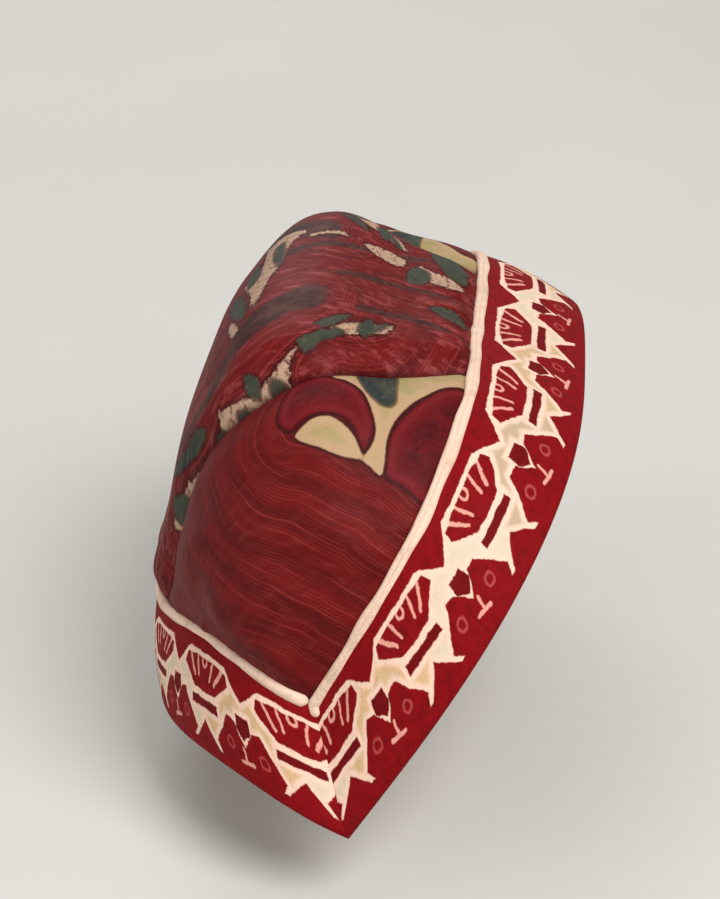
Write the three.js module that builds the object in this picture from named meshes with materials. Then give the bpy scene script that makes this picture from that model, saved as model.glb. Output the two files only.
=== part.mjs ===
// A chintz cap, with the form that it has when it is worn.
// The crown is a centre strip, the gore, between two rounded side panels.
// Two printed bands, one over the top and one round the nape, meet at a mitre over each ear.
// A cream edging lies in the seam between the bands and the crown.
// Millimetres: +X runs to the front, +Y to the wearer's left, +Z up.
// The origin is midway between the two ear corners of the rim.
import * as THREE from "three";

const degrees = THREE.MathUtils.degToRad;

// The rim
const EAR_HALF = 70; // from the middle to each ear corner of the rim
const FRONT_REACH = 72; // from the line between the ear corners to the top of the front rim
const FRONT_LEAN = degrees(52.5); // how far the front arch stands up from straight ahead
const FRONT_FULLNESS = 0.11; // how square the front arch is at its shoulders
const NAPE_REACH = 41.5; // from the line between the ear corners to the middle of the nape rim
const NAPE_LEAN = degrees(152); // the way in which the nape arch leaves the ears
const NAPE_DROP = degrees(30); // how far it has turned down where it reaches its middle
const NAPE_FULLNESS = -0.02;

// The bands
const BAND_WIDTH = 22;
const NAPE_WIDTH = 19.5; // of the nape band, at its middle
const BAND_CLOTH = 2.2; // lined cloth, folded over at the rim
const BAND_BOW = 1.2; // how far a band stands out between its two edges
const FRONT_TILT = degrees(153.5); // the way the front band runs from its rim to the crown, at the top
const NAPE_TILT = degrees(86.5);
const MITRE = { back: 0.22, inward: 0.45, up: 1.0 }; // where the mitre's inner end lies, in band widths

// The crown
const CROWN_CLOTH = 1.6;
const CROWN_RISE = 12.5; // how far the crown stands out past a straight run between its seams
const GORE_HALF = 36.5; // half the width of the gore, at its widest
const GORE_PUFF = 2; // how far the gathered gore stands out beside its seams
const PANEL_PUFF = 0.8;
const GORE_RUN = 3.5; // over what distance from a seam the gore rises
const PANEL_RUN = 5;
const SEAM_SINK = 1.2; // how deep the seam between gore and side panel lies

// The edging and the seams
const EDGING_WIDTH = 2;
const EDGING_LIFT = 0.6; // how far the edging's middle lies outside the seam
const EDGING_TAPER = 0.7; // the thickness of the edging's ends, as a share of its width
const SEAM_GAP = 0.3; // clear distance between neighbouring pieces
const HEM_ROUND = 0.3; // how far a cloth edge rounds out, in cloth thicknesses
const TIP_WIDTH = 2.5; // how wide a side panel's gap between seams is where its tip ends, in insets

// Sections of the crown, from the front seam (0) to the nape seam (1).
// rise is a share of CROWN_RISE, gore a share of GORE_HALF, and shoulder squares the section's corners.
// A rise below 0 leaves a section flatter than a straight run between the seams.
const SECTIONS = [
  { at: 0.0, rise: 0.0, shoulder: 0.17, gore: 0.63 },
  { at: 0.13, rise: 0.1, shoulder: 0.16, gore: 0.81 },
  { at: 0.26, rise: 0.6, shoulder: 0.13, gore: 0.98 },
  { at: 0.4, rise: 0.25, shoulder: 0.12, gore: 0.95 },
  { at: 0.55, rise: -0.35, shoulder: 0.12, gore: 0.76 },
  { at: 0.7, rise: -0.6, shoulder: 0.1, gore: 0.65 },
  { at: 0.85, rise: -0.45, shoulder: 0.0, gore: 0.58 },
  { at: 1.0, rise: 0.0, shoulder: -0.1, gore: 0.55 },
];

// Folds, as soft ridges (rise above 0) and valleys along a straight line on a piece.
// from and to hold the share from the front seam to the nape seam, and then the place across:
// 0 at the ear and 1 at the gore's seam on a side panel, -1 to 1 from seam to seam on the gore.
// rise is at the line's start and end, in cloth thicknesses, and width is in band widths.
const PANEL_FOLDS = [
  { from: [0.66, 0.88], to: [0.12, 0.58], rise: [-0.4, -0.4], width: 0.17 },
  { from: [0.72, 0.8], to: [0.1, 0.46], rise: [0.4, 0.3], width: 0.16 },
  { from: [0.72, 0.68], to: [0.08, 0.37], rise: [-0.6, -0.5], width: 0.18 },
  { from: [0.7, 0.53], to: [0.14, 0.27], rise: [0.5, 0.3], width: 0.16 },
  { from: [0.62, 0.36], to: [0.08, 0.18], rise: [-0.5, -0.2], width: 0.16 },
  { from: [1.0, 0.62], to: [0.84, 0.6], rise: [0.5, 0.0], width: 0.1 },
  { from: [1.0, 0.84], to: [0.86, 0.82], rise: [0.5, 0.0], width: 0.1 },
];
const GORE_FOLDS = [
  { from: [0.32, -0.75], to: [0.3, 0.75], rise: [0.8, 0.8], width: 0.3 },
  { from: [0.45, -0.6], to: [0.48, 0.5], rise: [-0.6, -0.3], width: 0.25 },
  { from: [0.0, -0.72], to: [0.11, -0.62], rise: [0.5, 0.0], width: 0.09 },
  { from: [0.0, -0.4], to: [0.1, -0.36], rise: [0.5, 0.0], width: 0.09 },
  { from: [0.0, -0.08], to: [0.12, -0.06], rise: [0.5, 0.0], width: 0.09 },
  { from: [0.0, 0.26], to: [0.1, 0.24], rise: [0.5, 0.0], width: 0.09 },
  { from: [0.0, 0.6], to: [0.11, 0.52], rise: [0.5, 0.0], width: 0.09 },
  { from: [1.0, -0.5], to: [0.88, -0.42], rise: [0.5, 0.0], width: 0.09 },
  { from: [1.0, 0.05], to: [0.87, 0.05], rise: [0.5, 0.0], width: 0.09 },
  { from: [1.0, 0.55], to: [0.88, 0.48], rise: [0.5, 0.0], width: 0.09 },
];

// How finely each piece is divided
const GORE_STEPS = [26, 26];
const PANEL_STEPS = [16, 20];
const FRONT_BAND_STEPS = [44, 4];
const NAPE_BAND_STEPS = [32, 4];
const EDGING_STEPS = 44;
const EDGING_SIDES = 6;
const SMALL_STEP = 1e-3; // the step of a slope, as a share of a surface's run
const SEAM_ROUNDS = 8; // how often the seam's turn is worked out again, until it stays

// A smooth curve through one column of a table, at a place between its first and last rows.
function between(rows, column, at) {
  let i = 1;
  while (i < rows.length - 1 && rows[i].at < at) i++;
  const low = rows[i - 1];
  const high = rows[i];
  const run = high.at - low.at;
  const before = rows[Math.max(i - 2, 0)];
  const after = rows[Math.min(i + 1, rows.length - 1)];
  const slopeLow = (high[column] - before[column]) / (high.at - before.at);
  const slopeHigh = (after[column] - low[column]) / (after.at - low.at);
  const t = (at - low.at) / run;
  const rest = 1 - t;
  return (
    low[column] * rest * rest * (1 + 2 * t) +
    high[column] * t * t * (3 - 2 * t) +
    run * t * rest * (slopeLow * rest - slopeHigh * t)
  );
}

// A point in the middle plane, from a distance and an angle up from straight ahead: x is X and y is Z.
function polar(reach, angle) {
  return new THREE.Vector2(reach * Math.cos(angle), reach * Math.sin(angle));
}

// The crown turns about a line between the two mitres' inner ends.
const HINGE = new THREE.Vector2(-MITRE.back, MITRE.up).multiplyScalar(BAND_WIDTH);
const HINGE_HALF = EAR_HALF - MITRE.inward * BAND_WIDTH;
const FRONT_TOP = polar(FRONT_REACH, FRONT_LEAN).add(polar(BAND_WIDTH, FRONT_TILT)).sub(HINGE);
const NAPE_TOP = polar(NAPE_REACH, NAPE_LEAN + NAPE_DROP).add(polar(NAPE_WIDTH, NAPE_TILT)).sub(HINGE);
const CROWN_SWEEP = NAPE_TOP.angle() - FRONT_TOP.angle();

// A half arch of the rim. turn runs from 0 at the right ear to pi at the left.
function rimPoint(reach, lean, fullness, turn) {
  const full = 1 + fullness * Math.sin(2 * turn) ** 2;
  const out = polar(reach * full * Math.sin(turn), lean);
  return new THREE.Vector3(out.x, -EAR_HALF * full * Math.cos(turn), out.y);
}

function frontRim(turn) {
  return rimPoint(FRONT_REACH, FRONT_LEAN, FRONT_FULLNESS, turn);
}

function napeRim(turn) {
  return rimPoint(NAPE_REACH, NAPE_LEAN + NAPE_DROP * Math.sin(turn) ** 2, NAPE_FULLNESS, turn);
}

// The angle from the front seam to the nape seam, which leaves the ears higher, like the nape rim.
function crownSweep(turn) {
  return CROWN_SWEEP - NAPE_DROP * Math.cos(turn) ** 2;
}

function crownReach(share) {
  const straight = THREE.MathUtils.lerp(FRONT_TOP.length(), NAPE_TOP.length(), share);
  return straight + CROWN_RISE * between(SECTIONS, "rise", share);
}

function crownFullness(share, turn) {
  return 1 + between(SECTIONS, "shoulder", share) * Math.sin(2 * turn) ** 2;
}

// The crown's smooth middle surface, before its puffs and folds.
function crownPoint(share, turn) {
  const full = crownFullness(share, turn);
  const angle = FRONT_TOP.angle() + crownSweep(turn) * share;
  const out = polar(crownReach(share) * full * Math.sin(turn), angle).add(HINGE);
  return new THREE.Vector3(out.x, -HINGE_HALF * full * Math.cos(turn), out.y);
}

// The turn at which the crown's right side is as wide as the gore.
function seamTurn(share) {
  const half = GORE_HALF * between(SECTIONS, "gore", share);
  let turn = Math.PI / 3;
  for (let i = 0; i < SEAM_ROUNDS; i++) {
    turn = Math.acos(half / HINGE_HALF / crownFullness(share, turn));
  }
  return turn;
}

// Millimetres of cloth for one unit of share and one of turn, at a place on the crown.
function clothScale(share, turn) {
  const reach = crownReach(share);
  return {
    share: Math.max(reach * crownSweep(turn) * Math.sin(turn), EDGING_WIDTH),
    turn: Math.hypot(reach * Math.cos(turn), HINGE_HALF * Math.sin(turn)),
  };
}

// Rises from 0 at an edge to 1 a few times the run away from it.
function rising(distance, run) {
  return 1 - Math.exp(-((distance / run) ** 2));
}

// The height that a table of folds gives at a place on a piece.
function foldHeight(folds, share, across, scale) {
  let height = 0;
  for (const { from, to, rise, width } of folds) {
    const run = [(to[0] - from[0]) * scale.share, (to[1] - from[1]) * scale.across];
    const away = [(share - from[0]) * scale.share, (across - from[1]) * scale.across];
    const length = run[0] ** 2 + run[1] ** 2;
    const along = THREE.MathUtils.clamp((away[0] * run[0] + away[1] * run[1]) / length, 0, 1);
    const distance = Math.hypot(away[0] - along * run[0], away[1] - along * run[1]);
    const lift = THREE.MathUtils.lerp(rise[0], rise[1], along);
    height += CROWN_CLOTH * lift * Math.exp(-((distance / (width * BAND_WIDTH)) ** 2));
  }
  return height;
}

// How far the crown stands out from its smooth surface, on the gore or on a side panel.
function crownHeight(share, turn, folds) {
  const onGore = folds === GORE_FOLDS;
  const seam = seamTurn(share);
  const scale = clothScale(share, turn);
  const side = Math.min(turn, Math.PI - turn);
  const seamAway = Math.abs(side - seam) * scale.turn;
  const endAway = Math.min(share, 1 - share) * scale.share;
  const middle = Math.PI / 2;
  const across = onGore ? (turn - middle) / (middle - seam) : side / seam;
  scale.across = scale.turn * (onGore ? middle - seam : seam);
  const [puff, run] = onGore ? [GORE_PUFF, GORE_RUN] : [PANEL_PUFF, PANEL_RUN];
  const edge = rising(endAway, run) * rising(seamAway, run);
  const sink = SEAM_SINK * (1 - rising(seamAway, run)) * rising(endAway, run);
  const soft = rising(seamAway, EDGING_WIDTH) * rising(endAway, EDGING_WIDTH);
  return puff * edge - sink + foldHeight(folds, share, across, scale) * soft;
}

// A surface's middle point and its normal, which sign turns to face outwards.
function surfaceFrame(surface, u, v, sign = 1) {
  const alongU = surface(u + SMALL_STEP, v).sub(surface(u - SMALL_STEP, v));
  const alongV = surface(u, v + SMALL_STEP).sub(surface(u, v - SMALL_STEP));
  const normal = alongU.clone().cross(alongV).normalize().multiplyScalar(sign);
  return { point: surface(u, v), alongU: alongU.normalize(), alongV: alongV.normalize(), normal };
}

// The crown's surface with its puffs and folds.
function crownSurface(share, turn, folds) {
  const { point, normal } = surfaceFrame((t, s) => crownPoint(s, t), turn, share);
  return point.addScaledVector(normal, crownHeight(share, turn, folds));
}

// How far a crown piece's edge stays from the seam that holds the edging, and from the gore's seam.
const CROWN_INSET = EDGING_WIDTH / 2 + SEAM_GAP + HEM_ROUND * CROWN_CLOTH;
const GORE_INSET = SEAM_GAP / 2 + HEM_ROUND * CROWN_CLOTH;
const BAND_INSET = EDGING_WIDTH / 2 + SEAM_GAP + HEM_ROUND * BAND_CLOTH;
const MITRE_INSET = SEAM_GAP / 2 + HEM_ROUND * BAND_CLOTH;
const MITRE_NEAR = 0.02; // a turn close beside the mitre
const MITRE_RUN = 0.2; // the turn over which a band's normal changes beside the mitre

// A place between the front and nape seams, kept clear of the edging in each.
function clearShare(v, turn) {
  const first = CROWN_INSET / clothScale(0, turn).share;
  const last = 1 - CROWN_INSET / clothScale(1, turn).share;
  return THREE.MathUtils.lerp(first, last, v);
}

// The turn where a side panel's trimmed edges are about to meet, beside the ear.
const EAR_TIP = Math.asin((TIP_WIDTH * CROWN_INSET) / (NAPE_TOP.length() * crownSweep(0)));

// A side panel, from the ear (u 0) to the gore's seam (u 1). side is 1 on the right and -1 on the left.
function panelSurface(side) {
  return (u, v) => {
    const seam = seamTurn(THREE.MathUtils.clamp(v, 0, 1));
    const inset = GORE_INSET / clothScale(v, seam).turn;
    const turn = THREE.MathUtils.lerp(EAR_TIP, seam - inset, u);
    const point = crownSurface(clearShare(v, turn), turn, PANEL_FOLDS);
    point.y *= side;
    return point;
  };
}

// The gore, from its right seam (u 0) to its left seam (u 1).
function goreSurface(u, v) {
  const seam = seamTurn(THREE.MathUtils.clamp(v, 0, 1));
  const inset = GORE_INSET / clothScale(v, seam).turn;
  const turn = THREE.MathUtils.lerp(seam + inset, Math.PI - seam - inset, u);
  return crownSurface(clearShare(v, turn), turn, GORE_FOLDS);
}

// A band's flat surface, between a rim arch (v 0) and the crown's edge at a share (v 1).
function bandPoint(rim, share, turn, v) {
  return rim(turn).lerp(crownPoint(share, turn), v);
}

// 1 at a mitre, and 0 well away from it.
function nearMitre(turn) {
  return Math.exp(-((Math.min(turn, Math.PI - turn) / MITRE_RUN) ** 2));
}

// The normal over each ear that both bands share, so that their ends face each other.
function mitreNormal(turn, v) {
  const near = turn < Math.PI / 2 ? MITRE_NEAR : Math.PI - MITRE_NEAR;
  const front = surfaceFrame((t, w) => bandPoint(frontRim, 0, t, w), near, v);
  const nape = surfaceFrame((t, w) => bandPoint(napeRim, 1, t, w), near, v, -1);
  return front.normal.add(nape.normal).normalize();
}

// A band from ear to ear (u), from its rim (v 0) to the edging (v 1).
function bandSurface(rim, share) {
  const flat = (turn, v) => bandPoint(rim, share, turn, v);
  const sign = share ? -1 : 1;
  return (u, v) => {
    const atEar = flat(SMALL_STEP, v).sub(flat(0, v)).divideScalar(SMALL_STEP);
    const mitre = crownPoint(share, 0).sub(rim(0)).normalize();
    const first = MITRE_INSET / atEar.cross(mitre).length();
    const turn = THREE.MathUtils.lerp(first, Math.PI - first, u);
    const width = rim(turn).distanceTo(crownPoint(share, turn));
    const { point, normal } = surfaceFrame(flat, turn, v * (1 - BAND_INSET / width), sign);
    const bow = BAND_BOW * Math.sin(Math.PI * v) * (1 - nearMitre(turn));
    return point.addScaledVector(normal, bow);
  };
}

// A point well inside the hollow, which tells a piece's outer side from its inner one.
const INSIDE = new THREE.Vector3(HINGE.x, 0, HINGE.y);

// Near a mitre, a band's normal turns to the one that both bands share.
function turnToMitre(frame, u, v) {
  const turn = Math.PI * u;
  frame.normal.lerp(mitreNormal(turn, v), nearMitre(turn)).normalize();
}

// One closed solid of cloth about a surface, with rounded edges.
function cloth(surface, [acrossSteps, alongSteps], thickness, adjust = () => {}) {
  const middle = surfaceFrame(surface, 0.5, 0.5);
  const sign = Math.sign(middle.normal.dot(middle.point.clone().sub(INSIDE)));
  const row = alongSteps + 1;
  const count = (acrossSteps + 1) * row;
  const points = new Array(2 * count);
  const index = (i, j) => i * row + j;
  const frames = [];
  for (let i = 0; i <= acrossSteps; i++) {
    for (let j = 0; j <= alongSteps; j++) {
      const frame = surfaceFrame(surface, i / acrossSteps, j / alongSteps, sign);
      adjust(frame, i / acrossSteps, j / alongSteps);
      frames.push(frame);
      points[index(i, j)] = frame.point.clone().addScaledVector(frame.normal, thickness / 2);
      points[count + index(i, j)] = frame.point.clone().addScaledVector(frame.normal, -thickness / 2);
    }
  }
  const faces = [];
  const quad = (a, b, c, d) => faces.push(a, b, c, a, c, d);
  for (let i = 0; i < acrossSteps; i++) {
    for (let j = 0; j < alongSteps; j++) {
      const [a, b, c, d] = [index(i, j), index(i + 1, j), index(i + 1, j + 1), index(i, j + 1)];
      quad(a, b, c, d);
      quad(count + d, count + c, count + b, count + a);
    }
  }
  const border = borderPlaces(acrossSteps, alongSteps);
  border.forEach(([i, j], k) => {
    const frame = frames[index(i, j)];
    const out = new THREE.Vector3();
    if (i === 0) out.sub(frame.alongU);
    if (i === acrossSteps) out.add(frame.alongU);
    if (j === 0) out.sub(frame.alongV);
    if (j === alongSteps) out.add(frame.alongV);
    points.push(frame.point.clone().addScaledVector(out.normalize(), HEM_ROUND * thickness));
    const next = (k + 1) % border.length;
    const [a, b] = [index(i, j), index(...border[next])];
    quad(b, a, 2 * count + k, 2 * count + next);
    quad(2 * count + next, 2 * count + k, count + a, count + b);
  });
  return solid(points, sign > 0 ? faces : faces.reverse());
}

function band(rim, share, steps) {
  return cloth(bandSurface(rim, share), steps, BAND_CLOTH, turnToMitre);
}

// The places round a grid's border, in order.
function borderPlaces(acrossSteps, alongSteps) {
  const places = [];
  for (let i = 0; i < acrossSteps; i++) places.push([i, 0]);
  for (let j = 0; j < alongSteps; j++) places.push([acrossSteps, j]);
  for (let i = acrossSteps; i > 0; i--) places.push([i, alongSteps]);
  for (let j = alongSteps; j > 0; j--) places.push([0, j]);
  return places;
}

// The round edging that lies on the crown's edge at a share, from one turn to another.
function edging(share, first, last) {
  const centre = (turn) => {
    const near = THREE.MathUtils.clamp(turn, MITRE_NEAR, Math.PI - MITRE_NEAR);
    const { normal } = surfaceFrame((t, s) => crownPoint(s, t), near, share);
    return crownPoint(share, turn).addScaledVector(normal, EDGING_LIFT);
  };
  const points = [];
  const faces = [];
  for (let i = 0; i <= EDGING_STEPS; i++) {
    const turn = THREE.MathUtils.lerp(first, last, i / EDGING_STEPS);
    const middle = centre(turn);
    const ahead = centre(turn + SMALL_STEP).sub(centre(turn - SMALL_STEP)).normalize();
    const aside = ahead.clone().cross(middle.clone().sub(INSIDE)).normalize();
    const out = aside.clone().cross(ahead);
    const atEnd = i === 0 || i === EDGING_STEPS;
    const radius = (EDGING_WIDTH / 2) * (atEnd ? EDGING_TAPER : 1);
    for (let k = 0; k < EDGING_SIDES; k++) {
      const angle = (2 * Math.PI * k) / EDGING_SIDES;
      const ring = middle.clone().addScaledVector(out, radius * Math.cos(angle));
      points.push(ring.addScaledVector(aside, radius * Math.sin(angle)));
      if (i === 0) continue;
      const next = (k + 1) % EDGING_SIDES;
      const [a, b] = [(i - 1) * EDGING_SIDES + k, (i - 1) * EDGING_SIDES + next];
      faces.push(a, b, b + EDGING_SIDES, a, b + EDGING_SIDES, a + EDGING_SIDES);
    }
  }
  const lastRing = EDGING_STEPS * EDGING_SIDES;
  for (let k = 1; k < EDGING_SIDES - 1; k++) {
    faces.push(0, k + 1, k, lastRing, lastRing + k, lastRing + k + 1);
  }
  return solid(points, faces);
}

function solid(points, faces) {
  const geometry = new THREE.BufferGeometry().setFromPoints(points);
  geometry.setIndex(faces);
  geometry.computeVertexNormals();
  return geometry;
}

const finishes = {
  chintz: { color: new THREE.Color(0.36, 0.07, 0.08), roughness: 0.55, metalness: 0 },
  print: { color: new THREE.Color(0.5, 0.05, 0.07), roughness: 0.7, metalness: 0 },
  edging: { color: new THREE.Color(0.86, 0.74, 0.58), roughness: 0.8, metalness: 0 },
};

function piece(name, geometry, finish) {
  const mesh = new THREE.Mesh(geometry, new THREE.MeshStandardMaterial(finishes[finish]));
  mesh.name = name;
  return mesh;
}

// The nape edging ends beside the front edging, which runs on to the mitre.
const NAPE_EDGING_START = (EDGING_WIDTH / 2 + SEAM_GAP) / NAPE_TOP.length();

const crown = new THREE.Group();
crown.add(
  piece("crown_gore", cloth(goreSurface, GORE_STEPS, CROWN_CLOTH), "chintz"),
  piece("side_panel_right", cloth(panelSurface(1), PANEL_STEPS, CROWN_CLOTH), "chintz"),
  piece("side_panel_left", cloth(panelSurface(-1), PANEL_STEPS, CROWN_CLOTH), "chintz"),
);

const brim = new THREE.Group();
brim.add(
  piece("front_band", band(frontRim, 0, FRONT_BAND_STEPS), "print"),
  piece("nape_band", band(napeRim, 1, NAPE_BAND_STEPS), "print"),
  piece("front_edging", edging(0, 0, Math.PI), "edging"),
  piece("nape_edging", edging(1, NAPE_EDGING_START, Math.PI - NAPE_EDGING_START), "edging"),
);

const cap = new THREE.Group();
cap.add(crown, brim);

export default cap;
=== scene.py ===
import math

import bpy
import numpy as np
from mathutils import Matrix, Vector


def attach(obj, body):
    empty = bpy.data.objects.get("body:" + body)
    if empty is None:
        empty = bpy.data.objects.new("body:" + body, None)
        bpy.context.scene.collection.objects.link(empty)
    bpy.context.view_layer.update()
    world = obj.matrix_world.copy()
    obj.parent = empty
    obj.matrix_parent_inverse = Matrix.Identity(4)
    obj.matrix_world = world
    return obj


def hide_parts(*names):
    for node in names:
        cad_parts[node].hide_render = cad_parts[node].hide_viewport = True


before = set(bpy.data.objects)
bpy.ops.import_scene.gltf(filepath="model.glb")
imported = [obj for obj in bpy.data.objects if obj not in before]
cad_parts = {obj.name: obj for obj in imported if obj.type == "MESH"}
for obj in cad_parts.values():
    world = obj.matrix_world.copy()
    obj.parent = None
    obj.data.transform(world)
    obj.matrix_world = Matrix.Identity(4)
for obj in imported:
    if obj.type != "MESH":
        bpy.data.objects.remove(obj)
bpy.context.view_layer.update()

# A cap of printed cotton, in the form that it has when it is worn.
# Its crown is a gathered centre strip, the gore, between two rounded side panels.
# Two printed bands meet at a mitre over each ear, and a cream edging lies in their seams.
# Sizes are millimetres in this script, and metres in the meshes. +X is the front, +Z up.
MM = 0.001

# The rim
EAR_HALF = 70.0  # from the middle to each ear corner of the rim
FRONT_REACH = 72.0  # from the line between the ear corners to the top of the front rim
FRONT_LEAN = math.radians(52.5)
FRONT_FULLNESS = 0.11
NAPE_REACH = 41.5
NAPE_LEAN = math.radians(152)
NAPE_DROP = math.radians(30)  # how far the nape arch turns down towards its middle
NAPE_FULLNESS = -0.02

# The bands
BAND_WIDTH = 22.0
NAPE_WIDTH = 19.5  # of the nape band, at its middle
BAND_CLOTH = 2.2
BAND_BOW = 1.2  # how far a band stands out between its two edges
FRONT_TILT = math.radians(153.5)
NAPE_TILT = math.radians(86.5)
MITRE = {"back": 0.22, "inward": 0.45, "up": 1.0}
MITRE_NEAR = 0.02  # the turn at which the mitre's normal is taken
MITRE_RUN = 0.2  # the turn over which a band goes over to that normal
MITRE_HALF = 0.05  # half the cut between the two bands
MITRE_ROUND = 0.35  # how far from the mitre a band's end rounds off
HEM_WIDTH = 6.0  # how much printed cloth is turned in at the rim
HEM_EDGE = 0.6

# The crown
CROWN_CLOTH = 1.3
CROWN_ROUND = 0.7  # how much of its edge has closer points
CROWN_RISE = 12.5
GORE_HALF = 36.5
GORE_PUFF = 2.0
PANEL_PUFF = 0.8
GORE_RUN = 3.5  # over what distance from a seam the gore rises
PANEL_RUN = 5.0
SEAM_SINK = 1.2
SEAM_TUCK = 1.5  # how far a crown piece's edge turns down into its seam
TUCK_RUN = 0.8
SEAM_HALF = 0.12  # half the cut between two pieces that are sewn together
TIP_TURN = math.radians(1.5)  # where a side panel's tip ends, short of the ear
GORE_GATHER = 0.16  # the height of the small gathers beside the seams
PANEL_GATHER = 0.07
BAND_GATHERS = {"pitch": 4.3, "reach": 6.0}  # the small gathers that run out from a band
SIDE_GATHERS = {"pitch": 5.1, "reach": 4.0}  # the lower ones that run out from a side seam
SIDE_SHARE = 0.6

# The edging
EDGING_WIDTH = 2.0
EDGING_SHOWN = 2.5  # the width of its soft cloth, pressed a little flat
EDGING_FLAT = 0.8
EDGING_LIFT = 0.7
EDGING_TAIL = 2.4  # how far the front one runs on down the mitre
EDGING_SHORT = 0.03  # the turn by which the nape one stops short of it

# The fineness of the meshes: how many points over what run, across a piece and along it
GORE_GRID = ((168, 84), (150, 88))
PANEL_GRID = ((116, 62), (120, 66))
BAND_STEP = 0.5
BAND_ROWS = 44
EDGING_STEPS = 420
EDGING_SIDES = 14
TAIL_STEPS = 6

# The border's print: the length of one repeat, and the runs of its palmettes, the fan-shaped
# figures, from an ear to the middle of each band
REPEAT = 27.5
HALF_REPEAT = REPEAT / 2
FRONT_PALMETTES = (5.2, 30.6, 55, 82.5, 110)
NAPE_PALMETTES = (6.5, 34.8, 62, 93)

# Sections of the crown, from the front seam (0) to the nape seam (1)
SECTION_COLUMNS = ("at", "rise", "shoulder", "gore")
SECTIONS = (
    (0.00, 0.00, 0.17, 0.63),
    (0.13, 0.10, 0.16, 0.81),
    (0.26, 0.60, 0.13, 0.98),
    (0.40, 0.25, 0.12, 0.95),
    (0.55, -0.35, 0.12, 0.76),
    (0.70, -0.60, 0.10, 0.65),
    (0.85, -0.45, 0.00, 0.58),
    (1.00, 0.00, -0.10, 0.55),
)

# Folds, from one place to another: (share, across), the rise at each in cloth thicknesses,
# and the width in band widths
PANEL_FOLDS = (
    ((0.66, 0.88), (0.12, 0.58), (-0.4, -0.4), 0.17),
    ((0.72, 0.80), (0.10, 0.46), (0.4, 0.3), 0.16),
    ((0.72, 0.68), (0.08, 0.37), (-0.6, -0.5), 0.18),
    ((0.70, 0.53), (0.14, 0.27), (0.5, 0.3), 0.16),
    ((0.62, 0.36), (0.08, 0.18), (-0.5, -0.2), 0.16),
    ((1.00, 0.62), (0.84, 0.60), (0.5, 0.0), 0.10),
    ((1.00, 0.84), (0.86, 0.82), (0.5, 0.0), 0.10),
)
GORE_FOLDS = (
    ((0.32, -0.75), (0.30, 0.75), (0.8, 0.8), 0.30),
    ((0.45, -0.60), (0.48, 0.50), (-0.6, -0.3), 0.25),
    ((0.00, -0.72), (0.11, -0.62), (0.5, 0.0), 0.09),
    ((0.00, -0.40), (0.10, -0.36), (0.5, 0.0), 0.09),
    ((0.00, -0.08), (0.12, -0.06), (0.5, 0.0), 0.09),
    ((0.00, 0.26), (0.10, 0.24), (0.5, 0.0), 0.09),
    ((0.00, 0.60), (0.11, 0.52), (0.5, 0.0), 0.09),
    ((1.00, -0.50), (0.88, -0.42), (0.5, 0.0), 0.09),
    ((1.00, 0.05), (0.87, 0.05), (0.5, 0.0), 0.09),
    ((1.00, 0.55), (0.88, 0.48), (0.5, 0.0), 0.09),
)
FOLD_CLOTH = 1.6  # the cloth thickness that folds are measured in


def between(column, at):
    """A smooth curve through one column of the sections."""
    rows = np.array(SECTIONS)
    places, values = rows[:, 0], rows[:, SECTION_COLUMNS.index(column)]
    last = len(places) - 1
    high = np.clip(np.searchsorted(places, at), 1, last)
    low = high - 1
    before, after = np.maximum(low - 1, 0), np.minimum(high + 1, last)
    run = places[high] - places[low]
    slope_low = (values[high] - values[before]) / (places[high] - places[before])
    slope_high = (values[after] - values[low]) / (places[after] - places[low])
    t = (at - places[low]) / run
    rest = 1 - t
    ends = values[low] * rest**2 * (1 + 2 * t) + values[high] * t**2 * (3 - 2 * t)
    return ends + run * t * rest * (slope_low * rest - slope_high * t)


def polar(reach, angle):
    return np.array([reach * math.cos(angle), reach * math.sin(angle)])


def angle_of(run):
    return math.atan2(run[1], run[0]) % (2 * math.pi)


HINGE = np.array([-MITRE["back"], MITRE["up"]]) * BAND_WIDTH
HINGE_HALF = EAR_HALF - MITRE["inward"] * BAND_WIDTH
FRONT_TOP = polar(FRONT_REACH, FRONT_LEAN) + polar(BAND_WIDTH, FRONT_TILT) - HINGE
NAPE_TOP = polar(NAPE_REACH, NAPE_LEAN + NAPE_DROP) + polar(NAPE_WIDTH, NAPE_TILT) - HINGE
CROWN_START = angle_of(FRONT_TOP)
CROWN_SWEEP = angle_of(NAPE_TOP) - CROWN_START
INSIDE = np.array([HINGE[0], 0.0, HINGE[1]])


def rim_point(reach, lean, fullness, turn):
    """A half arch of the rim, from the right ear (turn 0) to the left (turn pi)."""
    full = 1 + fullness * np.sin(2 * turn) ** 2
    out = reach * full * np.sin(turn)
    across = -EAR_HALF * full * np.cos(turn)
    return np.stack([out * np.cos(lean), across, out * np.sin(lean)], axis=-1)


def front_rim(turn):
    return rim_point(FRONT_REACH, FRONT_LEAN, FRONT_FULLNESS, turn)


def nape_rim(turn):
    return rim_point(NAPE_REACH, NAPE_LEAN + NAPE_DROP * np.sin(turn) ** 2, NAPE_FULLNESS, turn)


def crown_sweep(turn):
    """The angle from the front seam to the nape seam, which leaves the ears higher, like the rim."""
    return CROWN_SWEEP - NAPE_DROP * np.cos(turn) ** 2


def crown_reach(share):
    front, nape = np.hypot(*FRONT_TOP), np.hypot(*NAPE_TOP)
    return front + (nape - front) * share + CROWN_RISE * between("rise", share)


def crown_fullness(share, turn):
    return 1 + between("shoulder", share) * np.sin(2 * turn) ** 2


def crown_point(share, turn):
    """The crown's smooth surface, before its puffs and folds."""
    share, turn = np.broadcast_arrays(share, turn)
    full = crown_fullness(share, turn)
    angle = CROWN_START + crown_sweep(turn) * share
    out = crown_reach(share) * full * np.sin(turn)
    across = -HINGE_HALF * full * np.cos(turn)
    return np.stack([HINGE[0] + out * np.cos(angle), across, HINGE[1] + out * np.sin(angle)], axis=-1)


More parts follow.
